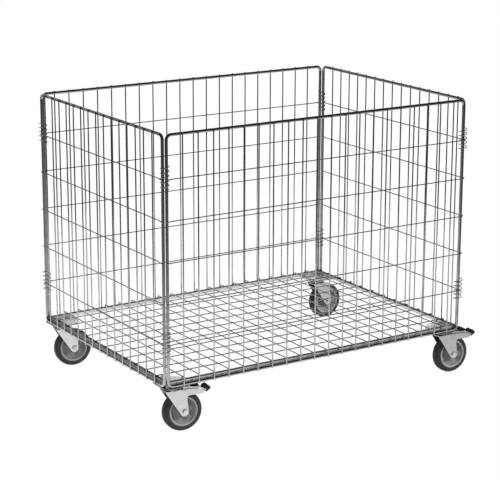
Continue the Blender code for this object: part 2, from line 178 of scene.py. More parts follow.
def piece(name, mesh, mat=None):
    """A visible object made from a mesh, with one material."""
    obj = bpy.data.objects.new(name, mesh)
    collection().objects.link(obj)
    if mat is not None:
        mesh.materials.clear()
        mesh.materials.append(mat)
    return obj


def smooth(obj, angle=40):
    obj.data.shade_smooth()
    obj.data.set_sharp_from_angle(angle=radians(angle))
    return obj


def baked(obj, name=None):
    """Turn a curve or an object with modifiers into a plain closed mesh piece."""
    graph = bpy.context.evaluated_depsgraph_get()
    graph.update()
    mesh = bpy.data.meshes.new_from_object(obj.evaluated_get(graph))
    bm = bmesh.new()
    bm.from_mesh(mesh)
    bmesh.ops.remove_doubles(bm, verts=bm.verts, dist=0.01 * MM)
    bmesh.ops.recalc_face_normals(bm, faces=bm.faces)
    bm.to_mesh(mesh)
    bm.free()
    name = name or obj.name
    obj.name = name + "_source"
    made = piece(name, mesh)
    bpy.data.objects.remove(obj, do_unlink=True)
    return made


def curve_object(name, paths, closed):
    curve = bpy.data.curves.new(name, "CURVE")
    curve.dimensions = "3D"
    for path in paths:
        spline = curve.splines.new("POLY")
        spline.points.add(len(path) - 1)
        for point, place in zip(spline.points, path):
            point.co = (*place[:3], 1.0)
            if len(place) > 3:
                point.radius = place[3]
        spline.use_cyclic_u = closed
    obj = bpy.data.objects.new(name, curve)
    collection().objects.link(obj)
    return obj


def eased_tips(path, radius):
    """Ends of a cut wire, with their edge rolled over a little."""
    tip = 0.35 * radius
    out = [(*place, 1.0) for place in path]
    for end, near in ((0, 1), (-1, -2)):
        a = Vector(path[end])
        step = (Vector(path[near]) - a).normalized() * tip
        inner = (*(a + step), 1.0)
        out[end] = (*a, 0.68)
        out.insert(1 if end == 0 else len(out) - 1, inner)
    return out


def wire(name, paths, radius, sides=10, closed=False):
    """Round wires that follow their paths, as one mesh."""
    if not closed:
        paths = [eased_tips(path, radius) for path in paths]
    obj = curve_object(name, paths, closed)
    obj.data.bevel_depth = radius
    obj.data.bevel_resolution = sides // 2 - 2
    obj.data.use_fill_caps = not closed
    return smooth(baked(obj), 48)


def bevelled(obj, width, segments=2, angle=32):
    mod = obj.modifiers.new("edges", "BEVEL")
    mod.width = width
    mod.segments = segments
    mod.limit_method = "ANGLE"
    mod.angle_limit = radians(angle)
    mod.harden_normals = False
    return baked(obj)


def sheet(name, outlines, thickness, edge=0.0, centre=0.0, upright=False, segments=2):
    """Flat piece from closed outlines; inner ones are holes. Upright ones face along Y."""
    obj = curve_object(name, [[(a, b, 0.0) for a, b in line] for line in outlines], True)
    obj.data.dimensions = "2D"
    obj.data.fill_mode = "BOTH"
    obj.data.extrude = thickness / 2
    obj = baked(obj)
    if edge:
        obj = bevelled(obj, edge, segments)
    smooth(obj)
    for face in obj.data.polygons:
        broad = face.area / thickness > BROAD_FACE
        if abs(face.normal.z) > 0.999 or (abs(face.normal.z) < 0.01 and broad):
            face.use_smooth = False
    obj.data.transform(Matrix.Translation((0, 0, centre)))
    if upright:
        obj.data.transform(Matrix.Rotation(radians(90), 4, "X"))
    return obj


def turned(name, profile, steps=64, closed=True):
    """Profile of (radius, height) points revolved about Z."""
    mesh = bpy.data.meshes.new(name)
    count = len(profile)
    edges = [(i, (i + 1) % count) for i in range(count if closed else count - 1)]
    mesh.from_pydata([(r, 0.0, z) for r, z in profile], edges, [])
    obj = piece(name, mesh)
    screw = obj.modifiers.new("screw", "SCREW")
    screw.axis = "Z"
    screw.angle = 2 * pi
    screw.steps = steps
    screw.render_steps = steps
    screw.use_merge_vertices = True
    screw.merge_threshold = 0.005 * MM
    return smooth(baked(obj), 38)


def arc(cx, cy, radius, start, end, steps):
    turns = [radians(start + (end - start) * i / steps) for i in range(steps + 1)]
    return [(cx + radius * cos(a), cy + radius * sin(a)) for a in turns]


def circle(cx, cy, radius, sides=32):
    return arc(cx, cy, radius, 0, 360, sides)[:-1]


def scaled(points):
    return [(a * MM, b * MM) for a, b in points]


def rounded(points, radius, steps=4):
    """Outline with its corners rounded; radius may be one value per corner."""
    out = []
    count = len(points)
    for i, here in enumerate(points):
        r = radius[i] if isinstance(radius, (list, tuple)) else radius
        p = Vector(here)
        a = Vector(points[i - 1]) - p
        b = Vector(points[(i + 1) % count]) - p
        cut = min(r, 0.45 * a.length, 0.45 * b.length)
        if cut <= 0:
            out.append(tuple(p))
            continue
        start = p + a.normalized() * cut
        end = p + b.normalized() * cut
        for k in range(steps + 1):
            t = k / steps
            q = start * (1 - t) ** 2 + p * 2 * t * (1 - t) + end * t ** 2
            out.append(tuple(q))
    return out


def merged(name, objects):
    """Several meshes as one piece that keeps their materials."""
    mats = []
    bm = bmesh.new()
    for obj in objects:
        for mat in obj.data.materials:
            if mat not in mats:
                mats.append(mat)
        first = len(bm.faces)
        bm.from_mesh(obj.data)
        bm.faces.ensure_lookup_table()
        if obj.data.materials:
            number = mats.index(obj.data.materials[0])
            for face in bm.faces[first:]:
                face.material_index = number
    mesh = bpy.data.meshes.new(name)
    bm.to_mesh(mesh)
    bm.free()
    for obj in objects:
        bpy.data.objects.remove(obj, do_unlink=True)
    made = piece(name, mesh)
    for mat in mats:
        mesh.materials.append(mat)
    return made


def fitted(obj, body, mat=None, place=None, nodes=()):
    """Put a finished piece in its place and on its body, hiding the parts it replaces."""
    if place is not None:
        obj.data.transform(place)
        if place.determinant() < 0:
            obj.data.flip_normals()
    if mat is not None:
        obj.data.materials.clear()
        obj.data.materials.append(mat)
    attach(obj, body)
    if nodes:
        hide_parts(*nodes)
    return obj


# ========================================================= shader groups
def socket(group, name, kind, way, value=None):
    made = group.interface.new_socket(name=name, in_out=way, socket_type=kind)
    if value is not None:
        made.default_value = value
    return made


def node(tree, kind, **values):
    made = tree.nodes.new(kind)
    for key, value in values.items():
        setattr(made, key, value)
    return made


def noise(tree, vector, scale, detail=3.0, roughness=0.55):
    """Noise texture whose scale may be a number or a socket."""
    made = node(tree, "ShaderNodeTexNoise")
    made.inputs["Detail"].default_value = detail
    made.inputs["Roughness"].default_value = roughness
    tree.links.new(vector, made.inputs["Vector"])
    if isinstance(scale, (int, float)):
        made.inputs["Scale"].default_value = scale
    else:
        tree.links.new(scale, made.inputs["Scale"])
    return made.outputs["Fac"]


def ranged(tree, value, low, high, to_low=0.0, to_high=1.0):
    made = node(tree, "ShaderNodeMapRange")
    made.inputs["From Min"].default_value = low
    made.inputs["From Max"].default_value = high
    tree.links.new(value, made.inputs["Value"])
    for name, target in (("To Min", to_low), ("To Max", to_high)):
        if isinstance(target, (int, float)):
            made.inputs[name].default_value = target
        else:
            tree.links.new(target, made.inputs[name])
    return made.outputs["Result"]


def blended(tree, factor, a, b):
    """Mix two colours; each may be a tuple or a socket."""
    made = node(tree, "ShaderNodeMix", data_type="RGBA")
    tree.links.new(factor, made.inputs["Factor"])
    for name, value in (("A", a), ("B", b)):
        target = [s for s in made.inputs if s.name == name and s.type == "RGBA"][0]
        if isinstance(value, tuple):
            target.default_value = (*value, 1.0)
        else:
            tree.links.new(value, target)
    return [s for s in made.outputs if s.type == "RGBA"][0]


def math_node(tree, operation, a, b):
    made = node(tree, "ShaderNodeMath", operation=operation)
    for number, value in enumerate((a, b)):
        if isinstance(value, (int, float)):
            made.inputs[number].default_value = value
        else:
            tree.links.new(value, made.inputs[number])
    return made.outputs[0]


def new_group(name):
    group = bpy.data.node_groups.new(name, "ShaderNodeTree")
    return group, node(group, "NodeGroupInput"), node(group, "NodeGroupOutput")


def plated_metal_group():
    """Bright zinc: soft dull clouds, fine drawing marks and small specks, and a painted shade that
    darkens faces looking up.
    """
    found = bpy.data.node_groups.get("plated_metal")
    if found:
        return found
    group, inner, outer = new_group("plated_metal")
    socket(group, "Bright", "NodeSocketColor", "INPUT", (0.6, 0.6, 0.6, 1))
    socket(group, "Dull", "NodeSocketColor", "INPUT", (0.45, 0.45, 0.45, 1))
    socket(group, "Cloud Scale", "NodeSocketFloat", "INPUT", 14.0)
    socket(group, "Roughness Low", "NodeSocketFloat", "INPUT", 0.2)
    socket(group, "Roughness High", "NodeSocketFloat", "INPUT", 0.4)
    socket(group, "Top Shade", "NodeSocketFloat", "INPUT", 0.0)
    socket(group, "Colour", "NodeSocketColor", "OUTPUT")
    socket(group, "Roughness", "NodeSocketFloat", "OUTPUT")
    socket(group, "Height", "NodeSocketFloat", "OUTPUT")
    place = node(group, "ShaderNodeTexCoord").outputs["Object"]
    facing = node(group, "ShaderNodeSeparateXYZ")
    group.links.new(node(group, "ShaderNodeNewGeometry").outputs["Normal"], facing.inputs[0])
    clouds = noise(group, place, inner.outputs["Cloud Scale"], 4.0, 0.6)
    specks = noise(group, place, 900.0, 2.0, 0.5)
    cloud = ranged(group, clouds, 0.38, 0.66)
    speck = ranged(group, specks, 0.58, 0.72)
    colour = blended(group, cloud, inner.outputs["Bright"], inner.outputs["Dull"])
    mark = math_node(group, "MULTIPLY", speck, 0.2)
    colour = blended(group, mark, colour, inner.outputs["Dull"])
    # painted shade: faces that look up are darkened towards near black, standing in for the dark
    # sky they reflect
    upward = ranged(group, facing.outputs["Z"], 0.3, 0.85)
    top_shade = math_node(group, "MULTIPLY", upward, inner.outputs["Top Shade"])
    colour = blended(group, top_shade, colour, (0.035, 0.034, 0.032))
    group.links.new(colour, outer.inputs["Colour"])
    rough = ranged(group, clouds, 0.3, 0.7, inner.outputs["Roughness Low"],
                   inner.outputs["Roughness High"])
    group.links.new(rough, outer.inputs["Roughness"])
    group.links.new(clouds, outer.inputs["Height"])
    return group


def moulded_group():
    """Moulded rubber or plastic: fine grain, dust that lies on it, scuffs."""
    found = bpy.data.node_groups.get("moulded_surface")
    if found:
        return found
    group, inner, outer = new_group("moulded_surface")
    socket(group, "Base", "NodeSocketColor", "INPUT", (0.05, 0.05, 0.05, 1))
    socket(group, "Dust", "NodeSocketColor", "INPUT", (0.2, 0.2, 0.19, 1))
    socket(group, "Dust Amount", "NodeSocketFloat", "INPUT", 0.3)
    socket(group, "Grain Scale", "NodeSocketFloat", "INPUT", 800.0)
    socket(group, "Colour", "NodeSocketColor", "OUTPUT")
    socket(group, "Roughness", "NodeSocketFloat", "OUTPUT")
    socket(group, "Height", "NodeSocketFloat", "OUTPUT")
    place = node(group, "ShaderNodeTexCoord").outputs["Object"]
    grain = noise(group, place, inner.outputs["Grain Scale"], 2.0, 0.5)
    patches = noise(group, place, 38.0, 4.0, 0.65)
    dust = math_node(group, "MULTIPLY", ranged(group, patches, 0.42, 0.72),
                     inner.outputs["Dust Amount"])
    colour = blended(group, dust, inner.outputs["Base"], inner.outputs["Dust"])
    group.links.new(colour, outer.inputs["Colour"])
    rough = ranged(group, patches, 0.3, 0.7, 0.5, 0.72)
    group.links.new(rough, outer.inputs["Roughness"])
    group.links.new(grain, outer.inputs["Height"])
    return group


def new_material(name):
    mat = bpy.data.materials.new(name)
    mat.use_nodes = True
    tree = mat.node_tree
    return mat, tree, tree.nodes["Principled BSDF"]


def add_bump(tree, shader, height, strength, distance):
    bump = node(tree, "ShaderNodeBump")
    bump.inputs["Strength"].default_value = strength
    bump.inputs["Distance"].default_value = distance
    tree.links.new(height, bump.inputs["Height"])
    tree.links.new(bump.outputs["Normal"], shader.inputs["Normal"])


def plated(name, bright, dull, clouds, low, high, bump=0.05, top_shade=0.0, metal=1.0):
    """A zinc plated finish with its own tones and gloss, and painted shade on the faces that look
    up.
    """
    found = bpy.data.materials.get(name)
    if found:
        return found
    mat, tree, shader = new_material(name)
    shader.inputs["Metallic"].default_value = metal
    group = node(tree, "ShaderNodeGroup", node_tree=plated_metal_group())
    group.inputs["Bright"].default_value = (*bright, 1.0)
    group.inputs["Dull"].default_value = (*dull, 1.0)
    group.inputs["Cloud Scale"].default_value = clouds
    group.inputs["Roughness Low"].default_value = low
    group.inputs["Roughness High"].default_value = high
    group.inputs["Top Shade"].default_value = top_shade
    tree.links.new(group.outputs["Colour"], shader.inputs["Base Color"])
    tree.links.new(group.outputs["Roughness"], shader.inputs["Roughness"])
    add_bump(tree, shader, group.outputs["Height"], bump, 0.1 * MM)
    return mat


def moulded(name, base, dust, amount, grain, bump=0.3, specular=0.4):
    """A moulded finish with grain and a little dust."""
    found = bpy.data.materials.get(name)
    if found:
        return found
    mat, tree, shader = new_material(name)
    shader.inputs["Specular IOR Level"].default_value = specular
    group = node(tree, "ShaderNodeGroup", node_tree=moulded_group())
    group.inputs["Base"].default_value = (*base, 1.0)
    group.inputs["Dust"].default_value = (*dust, 1.0)
    group.inputs["Dust Amount"].default_value = amount
    group.inputs["Grain Scale"].default_value = grain
    tree.links.new(group.outputs["Colour"], shader.inputs["Base Color"])
    tree.links.new(group.outputs["Roughness"], shader.inputs["Roughness"])
    add_bump(tree, shader, group.outputs["Height"], bump, 0.12 * MM)
    return mat


def zinc_wire():
    finish = sizes("finish")
    return plated("zinc_wire", tuple(finish.zinc), tuple(finish.zinc_dull), 22.0, 0.16, 0.34)


def zinc_spring():
    finish = sizes("finish")
    return plated("zinc_spring", tuple(finish.zinc), tuple(finish.zinc_dull), 60.0, 0.14, 0.26)


def zinc_bar():
    finish = sizes("finish")
    # the bars' tops get a strong painted shade, standing in for the dark sky they reflect
    return plated("zinc_bar", tuple(finish.bar), tuple(finish.sheet), 30.0, 0.22, 0.34,
                  top_shade=0.9, metal=0.72)


def zinc_sheet():
    finish = sizes("finish")
    return plated("zinc_sheet", tuple(finish.sheet), tuple(finish.sheet_dull), 48.0, 0.18, 0.28,
                  bump=0.02)


def zinc_corner():
    """Lighter zinc of the corner plates inside the base, painted brighter for the light their tops
    catch.
    """
    finish = sizes("finish")
    return plated("zinc_corner", (0.95, 0.95, 0.94), tuple(finish.bar), 30.0, 0.12, 0.22,
                  metal=0.5)


def race_shade_steel():
    """Steel painted dark, a painted shade for the ball races and castor plates that sit in shade
    under the base.
    """
    return plated("race_shade_steel", (0.30, 0.29, 0.28), (0.07, 0.068, 0.065), 70.0, 0.22, 0.4)


def bright_bolt():
    finish = sizes("finish")
    return plated("bright_bolt", tuple(finish.bar), tuple(finish.sheet), 90.0, 0.22, 0.4,
                  metal=0.55)


def tyre_rubber():
    finish = sizes("finish")
    return moulded("tyre_rubber", tuple(finish.rubber), (0.11, 0.11, 0.105), 0.35, 700.0)


def hub_plastic():
    finish = sizes("finish")
    return moulded("hub_plastic", tuple(finish.hub), tuple(finish.hub_light), 0.35, 900.0, 0.2)


def hub_ring_plastic():
    finish = sizes("finish")
    return moulded("hub_ring_plastic", tuple(finish.hub_light), (0.45, 0.45, 0.44), 0.4,
                   900.0, 0.2)


def pedal_plastic():
    finish = sizes("finish")
    return moulded("pedal_plastic", tuple(finish.pedal), (0.03, 0.03, 0.03), 0.4, 600.0, 0.35)


# ================================================================== panels
class PanelShape:
    """Sizes and place of one mesh panel, read from its solid."""

    def __init__(self, name):
        wires = sizes("mesh")
        low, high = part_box(name)
        long_panel = high.x - low.x > high.y - low.y
        heading = {"panel_front": 0, "panel_left": -90, "panel_back": 180, "panel_right": 90}
        out = wires.rod + 2 * wires.upright - wires.sink
        self.name = name
        self.half = max(high.x - low.x, high.y - low.y) / 2 - wires.ends
        self.top = high.z - wires.over
        self.bottom = low.z + wires.under
        self.first = wires.long_first if long_panel else wires.short_first
        self.pitch = wires.long_pitch if long_panel else wires.short_pitch
        self.count = wires.long_count if long_panel else wires.short_count
        middle = (low + high) / 2
        spots = {
            "panel_front": (middle.x, low.y + out), "panel_back": (middle.x, high.y - out),
            "panel_left": (low.x + out, middle.y), "panel_right": (high.x - out, middle.y),
        }
        turn = Matrix.Rotation(radians(heading[name]), 4, "Z")
        self.place = Matrix.Translation((*spots[name], 0)) @ turn

    def upright_x(self):
        return [-self.half + self.first + self.pitch * i for i in range(self.count)]

    def cross_z(self):
        wires = sizes("mesh")
        return [self.top - wires.cross_drop - wires.cross_pitch * i
                for i in range(wires.cross_count)]


def panel_rim(shape):
    wires = sizes("mesh")
    path = []
    for side, upper, start in ((1, 0, -90), (1, 1, 0), (-1, 1, 90), (-1, 0, 180)):
        x = side * (shape.half - wires.bend)
        z = shape.top - wires.bend if upper else shape.bottom + wires.bend
        path += [(a, 0.0, b) for a, b in arc(x, z, wires.bend, start, start + 90, 12)]
    return wire(shape.name + "_rim", [path], wires.rod, 20, closed=True)


def panel_uprights(shape):
    wires = sizes("mesh")
    out = -(wires.rod + wires.upright - wires.sink)
    low = shape.bottom - wires.under
    high = shape.top + wires.over
    paths = [[(x, out, low), (x, out, high)] for x in shape.upright_x()]
    return wire(shape.name + "_uprights", paths, wires.upright, 12)


def cross_path(shape, z):
    """A cross wire lies inside the uprights and steps out over the side rods."""
    wires = sizes("mesh")
    inner = wires.rod - wires.cross
    outer = wires.rod + wires.cross - wires.sink
    left = []
    reach = 8 * MM
    span = 13 * MM
    left.append((-shape.half - wires.ends, -outer, z))
    for k in range(7):
        t = k / 6
        ease = t * t * (3 - 2 * t)
        left.append((-shape.half + reach + span * t, -(outer + (inner - outer) * ease), z))
    return left + [(-x, y, h) for x, y, h in left[::-1]]


def panel_crosses(shape):
    wires = sizes("mesh")
    paths = [cross_path(shape, z) for z in shape.cross_z()]
    return wire(shape.name + "_cross_wires", paths, wires.cross, 10)


def nuggets(name, spots, radius, flat):
    """Small squeezed beads of weld at each spot; flat is the axis they are thin along."""
    bm = bmesh.new()
    scale = [1.0, 1.0, 1.0]
    scale[flat] = 0.55
    for spot in spots:
        made = bmesh.ops.create_icosphere(bm, subdivisions=1, radius=radius)
        bmesh.ops.scale(bm, verts=made["verts"], vec=scale)
        bmesh.ops.translate(bm, verts=made["verts"], vec=spot)
    mesh = bpy.data.meshes.new(name)
    bm.to_mesh(mesh)
    bm.free()
    return smooth(piece(name, mesh), 80)


def panel_welds(shape):
    wires = sizes("mesh")
    spots = []
    for x in shape.upright_x():
        spots += [(x, -wires.rod, z) for z in shape.cross_z()]
        spots += [(x, -wires.rod, z) for z in (shape.top, shape.bottom)]
    for z in shape.cross_z():
        spots += [(side * shape.half, -wires.rod, z) for side in (-1, 1)]
    return nuggets(shape.name + "_welds", spots, 2.05 * MM, 1)


class CONTAINER_OT_panels(bpy.types.Operator):
    """Make the four mesh panels"""
    bl_idname = "container.panels"
    bl_label = "Mesh panels"

    def execute(self, context):
        for name in ("panel_front", "panel_back", "panel_left", "panel_right"):
            shape = PanelShape(name)
            mat = zinc_wire()
            fitted(panel_rim(shape), CAGE, mat, shape.place, (name,))
            for made in (panel_uprights(shape), panel_crosses(shape), panel_welds(shape)):
                fitted(made, CAGE, mat, shape.place)
        return {"FINISHED"}


# =================================================================== coils
class CONTAINER_OT_coils(bpy.types.Operator):
    """Make the coils that lace the panels together"""
    bl_idname = "container.coils"
    bl_label = "Lacing coils"

    def execute(self, context):
        coil = sizes("coil")
        start = radians(162.7)
        steps = 30
        total = coil.turns * steps
        for tag, heading in COIL_TURN.items():
            for level in ("upper", "lower"):
                name = "coil_" + tag + "_" + level
                low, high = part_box(name)
                middle = (low + high) / 2
                path = []
                for i in range(total + 1):
                    turn = (i - total / 2) / steps
                    angle = start + 2 * pi * turn + radians(heading)
                    path.append((middle.x + coil.radius * cos(angle),
                                 middle.y + coil.radius * sin(angle),
                                 middle.z + coil.pitch * turn))
                made = wire(name + "_spring", [path], coil.wire, 10)
                fitted(made, CAGE, zinc_spring(), None, (name,))
        return {"FINISHED"}


# ========================================================== base and floor
def hooked(half, z, drop, bend=3.2 * MM):
    """Straight wire whose ends curl down outside the bars, as (across, height)."""
    left = [(-half, z - drop)]
    left += [(-half + bend - bend * cos(t * pi / 8), z - bend + bend * sin(t * pi / 8))
             for t in range(5)]
    return left + [(-a, b) for a, b in left[::-1]]


class CONTAINER_OT_base(bpy.types.Operator):
    """Make the base bars and the wire floor"""
    bl_idname = "container.base"
    bl_label = "Base bars and floor"

    def execute(self, context):
        self.bars()
        self.floor()
        return {"FINISHED"}

    def bars(self):
        for side in ("front", "back", "left", "right"):
            name = "base_rail_" + side
            low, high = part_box(name)
            size = high - low
            middle = (low + high) / 2
            along_x = size.x > size.y
            run = max(size.x, size.y)
            wide = min(size.x, size.y)
            c = 2.6 * MM
            dent = 0.5 * MM
            a = wide / 2
            b = size.z / 2
            outline = arc(a - c, b - c, c, 90, 0, 4) + arc(a - c, -b + c, c, 0, -90, 4)
            outline += arc(-a + c, -b + c, c, -90, -180, 4)
            outline += [(-a, -0.6 * b), (-a + dent, -0.44 * b),
                        (-a + dent, 0.44 * b), (-a, 0.6 * b)]
            outline += arc(-a + c, b - c, c, 180, 90, 4)
            obj = sheet(name + "_bar", [outline], run)
            # the outline's own x is depth with the grooved face at -x, its y is height
            stand = Matrix(((0, 0, 1, 0), (1, 0, 0, 0), (0, 1, 0, 0), (0, 0, 0, 1)))
            heading = {"front": 0, "back": 180, "left": -90, "right": 90}[side]
            turn = Matrix.Rotation(radians(heading), 4, "Z")
            place = Matrix.Translation(middle) @ turn @ stand
            fitted(obj, CAGE, zinc_bar(), place, (name,))

    def floor(self):
        base = sizes("base")
        low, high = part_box("floor_grid")
        middle = (low + high) / 2
        reach_x = (high.x - low.x) / 2 - base.wire
        reach_y = (high.y - low.y) / 2 - base.wire
        gap = 0.35 * MM
        low_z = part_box("base_rail_front")[1].z + base.wire + 0.1 * MM
        top_z = low_z + 2 * base.wire - gap
        end = low.z
        lower = []
        for i in range(base.low_count):
            y = middle.y + base.low_pitch * (i - (base.low_count - 1) / 2)
            lower.append([(middle.x + a, y, b) for a, b in hooked(reach_x, low_z, low_z - end)])
        upper = []
        for i in range(base.top_count):
            x = middle.x + base.top_pitch * (i - (base.top_count - 1) / 2)
            upper.append([(x, middle.y + a, b) for a, b in hooked(reach_y, top_z, top_z - end)])
        spots = []
        for run in lower:
            for other in upper:
                spots.append((other[0][0], run[0][1], (low_z + top_z) / 2))
        mat = zinc_wire()
        made = wire("floor_lower_wires", lower, base.wire, 10)
        fitted(made, CAGE, mat, None, ("floor_grid",))
        fitted(wire("floor_upper_wires", upper, base.wire, 10), CAGE, mat)
        fitted(nuggets("floor_welds", spots, 2.0 * MM, 2), CAGE, mat)


# ================================================================= castors
class CastorPlace:
    """Where a castor stands and which way it trails, read from its joints."""

    def __init__(self, tag):
        swivel = JOINTS["castor_" + tag + "_swivel"]
        roll = JOINTS["castor_" + tag + "_roll"]
        self.tag = tag
        self.signs = CORNERS[tag]
        self.braked = tag in BRAKED
        across = Vector(roll["axis"]).normalized()
        heading = atan2(-across.x, across.y)
        self.king = Vector((swivel["pos_m"][0], swivel["pos_m"][1], 0.0))
        self.turn = Matrix.Rotation(heading, 4, "Z")
        self.place = Matrix.Translation(self.king) @ self.turn
        self.hub = Matrix.Translation(Vector(roll["pos_m"])) @ self.turn
        self.swivel_body = swivel["child"]
        self.wheel_body = roll["child"]
        # inboard quadrant of the base, drawn from the swivel axis
        self.corner = Matrix.Translation(self.king) @ Matrix.Diagonal(
            (-self.signs[0], -self.signs[1], 1, 1))


def corner_plate(castor):
    base = sizes("base")
    low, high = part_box("corner_plate_" + castor.tag)
    size = high.x - low.x
    # nearest and farthest edges inboard of the swivel axis
    near = -abs(castor.king.x - (low.x if castor.signs[0] < 0 else high.x))
    far = near + size
    cut = far - 34 * MM
    outline = rounded([(near, near), (far, near), (far, cut), (cut, far), (near, far)],
                      [2 * MM, 5 * MM, 5 * MM, 5 * MM, 5 * MM])
    holes = [circle(a, b, 4.3 * MM, 24) for a, b in STUDS]
    obj = sheet("corner_plate_" + castor.tag + "_sheet", [outline] + holes, high.z - low.z,
                base.plate_edge, (low.z + high.z) / 2)
    fitted(obj, CAGE, zinc_corner(), castor.corner,
           ("corner_plate_" + castor.tag,))


def castor_plate(castor):
    """Mounting plate with pressed race, rolled rim, swivel rivet and studs."""
    parts = []
    half = 41 * MM
    low = 148.8 * MM
    high = 152.3 * MM
    corners = [(-half, -half), (half, -half), (half, half), (-half, half)]
    outline = rounded(corners, 9 * MM, 8)
    slots = [rounded([(a - 7 * MM, b - 3.6 * MM), (a + 7 * MM, b - 3.6 * MM),
                      (a + 7 * MM, b + 3.6 * MM), (a - 7 * MM, b + 3.6 * MM)], 3.4 * MM, 6)
             for a, b in ((30 * MM, 32 * MM), (-30 * MM, -32 * MM))]
    parts.append(sheet("plate", [outline] + slots, high - low, 0.5 * MM, (low + high) / 2))
    race = sizes("castor").race
    profile = [(0, 150 * MM), (24 * MM, 150 * MM), (24.3 * MM, 148.2 * MM)]
    profile += arc(race - 2.2 * MM, 145.2 * MM, 2.2 * MM, 80, -10, 5)
    profile += [(race, 143.2 * MM), (race - 0.7 * MM, 142.6 * MM), (24 * MM, 142.6 * MM),
                (23 * MM, 143.6 * MM), (7 * MM, 143.6 * MM), (6 * MM, 142.6 * MM),
                (6 * MM, 131.4 * MM), (9.4 * MM, 131.4 * MM)]
    profile += arc(0, 140 * MM, 15.5 * MM, -54, -90, 5)
    parts.append(turned("race", profile, 56, closed=False))
    for a, b in STUDS:
        stud = [(0, 170 * MM), (2.9 * MM, 170 * MM), (3.7 * MM, 169.2 * MM)]
        pitch = 1.25 * MM
        for k in range(8):
            z = 168.8 * MM - pitch * k
            stud += [(3.7 * MM, z), (3.2 * MM, z - pitch / 2)]
        stud += [(3.7 * MM, 158 * MM), (3.7 * MM, 150 * MM), (0, 150 * MM)]
        made = turned("stud", stud, 20, closed=False)
        made.data.transform(Matrix.Translation((a, b, 0)))
        parts.append(made)
    # the plate and the race take the dark steel, painted shade for the dark band at the top of the
    # fork; the studs stay bright
    for part in parts:
        part.data.materials.clear()
        studs = part.name.startswith("stud")
        part.data.materials.append(bright_bolt() if studs else race_shade_steel())
    obj = merged("castor_" + castor.tag + "_plate_sheet", parts)
    fitted(obj, CAGE, None, castor.corner,
           ("castor_" + castor.tag + "_plate",))


def hex_nut(name, across, height, bore):
    """Nut along Z from 0 up, with its corners turned off, over a thin washer."""
    radius = across / 2 / cos(radians(30))
    bm = bmesh.new()
    rings = [(0.0, 0.93), (0.08, 1.0), (0.86, 1.0), (1.0, 0.9)]
    outer = []
    for level, share in rings:
        outer.append([bm.verts.new((radius * share * cos(radians(60 * k)),
                                    radius * share * sin(radians(60 * k)),
                                    level * height)) for k in range(6)])
    sides = 24
    inner = []
    for level in (0.0, 0.93, 1.0):
        grow = 1.12 if level in (0.0, 1.0) else 1.0
        inner.append([bm.verts.new((bore * grow * cos(2 * pi * k / sides),
                                    bore * grow * sin(2 * pi * k / sides),
                                    level * height)) for k in range(sides)])
    for lower, upper in zip(outer, outer[1:]):
        for k in range(6):
            j = (k + 1) % 6
            bm.faces.new((lower[k], lower[j], upper[j], upper[k]))
    for lower, upper in zip(inner, inner[1:]):
        for k in range(sides):
            j = (k + 1) % sides
            bm.faces.new((lower[j], lower[k], upper[k], upper[j]))
    for ring, hole in ((outer[0], inner[0]), (outer[-1], inner[-1])):
        edges = [bm.edges.get((ring[k], ring[(k + 1) % 6])) for k in range(6)]
        edges += [bm.edges.get((hole[k], hole[(k + 1) % sides])) for k in range(sides)]
        bmesh.ops.bridge_loops(bm, edges=edges)
    bmesh.ops.recalc_face_normals(bm, faces=bm.faces)
    mesh = bpy.data.meshes.new(name)
    bm.to_mesh(mesh)
    bm.free()
    return smooth(piece(name, mesh), 25)


def plate_nuts(castor):
    for number, (a, b) in enumerate(STUDS, 1):
        node_name = "nut_" + castor.tag + "_" + str(number)
        low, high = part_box(node_name)
        nut = hex_nut("nut", 13 * MM, (high.z - low.z) - 1.2 * MM, 3.9 * MM)
        nut.data.transform(Matrix.Translation((0, 0, 1.2 * MM)))
        washer = turned("washer", [(7.6 * MM, 0.0), (7.6 * MM, 0.9 * MM), (7.2 * MM, 1.2 * MM),
                                   (3.9 * MM, 1.2 * MM), (3.9 * MM, 0.0)][::-1], 32)
        mat = bright_bolt()
        for part in (nut, washer):
            part.data.materials.append(mat)
        obj = merged(node_name + "_hex", [nut, washer])
        place = castor.corner @ Matrix.Translation((a, b, low.z))
        fitted(obj, CAGE, None, place, (node_name,))


def leg_outline(braked):
    """Side view of a fork leg: (along the trail, height)."""
    castor = sizes("castor")
    u = castor.trail
    z = castor.wheel
    top = castor.crown_top
    foot = arc(u, z, 13.0 * MM, 213, 362, 14)
    nose = [(-25.2 * MM, top)]
    nose += arc(-22.6 * MM, top - 3.6 * MM, 2.5 * MM, 180, 213, 3)
    if braked:
        back = scaled([(46.6, 84), (44.4, 101)])
        back += arc(52.4 * MM, 106.0 * MM, 8.2 * MM, 184, 95, 8)
        back += scaled([(70, 113.9), (84, 114.0)])
        back += rounded(scaled([(84, 114.2), (97.0, 115.0), (101.0, 121.0), (98.0, 126.6),
                                (84, 130.4)]), [0, 6 * MM, 5 * MM, 5 * MM, 0], 6)[1:-1]
        back += scaled([(82, 130.6), (66, 133.4), (46, 134.8), (28, 135.0)])
    else:
        back = scaled([(46.5, 88), (42.8, 110)])
        back += arc(28.0 * MM, 121.0 * MM, 14.0 * MM, 0, 88, 8)
    return nose + foot + back


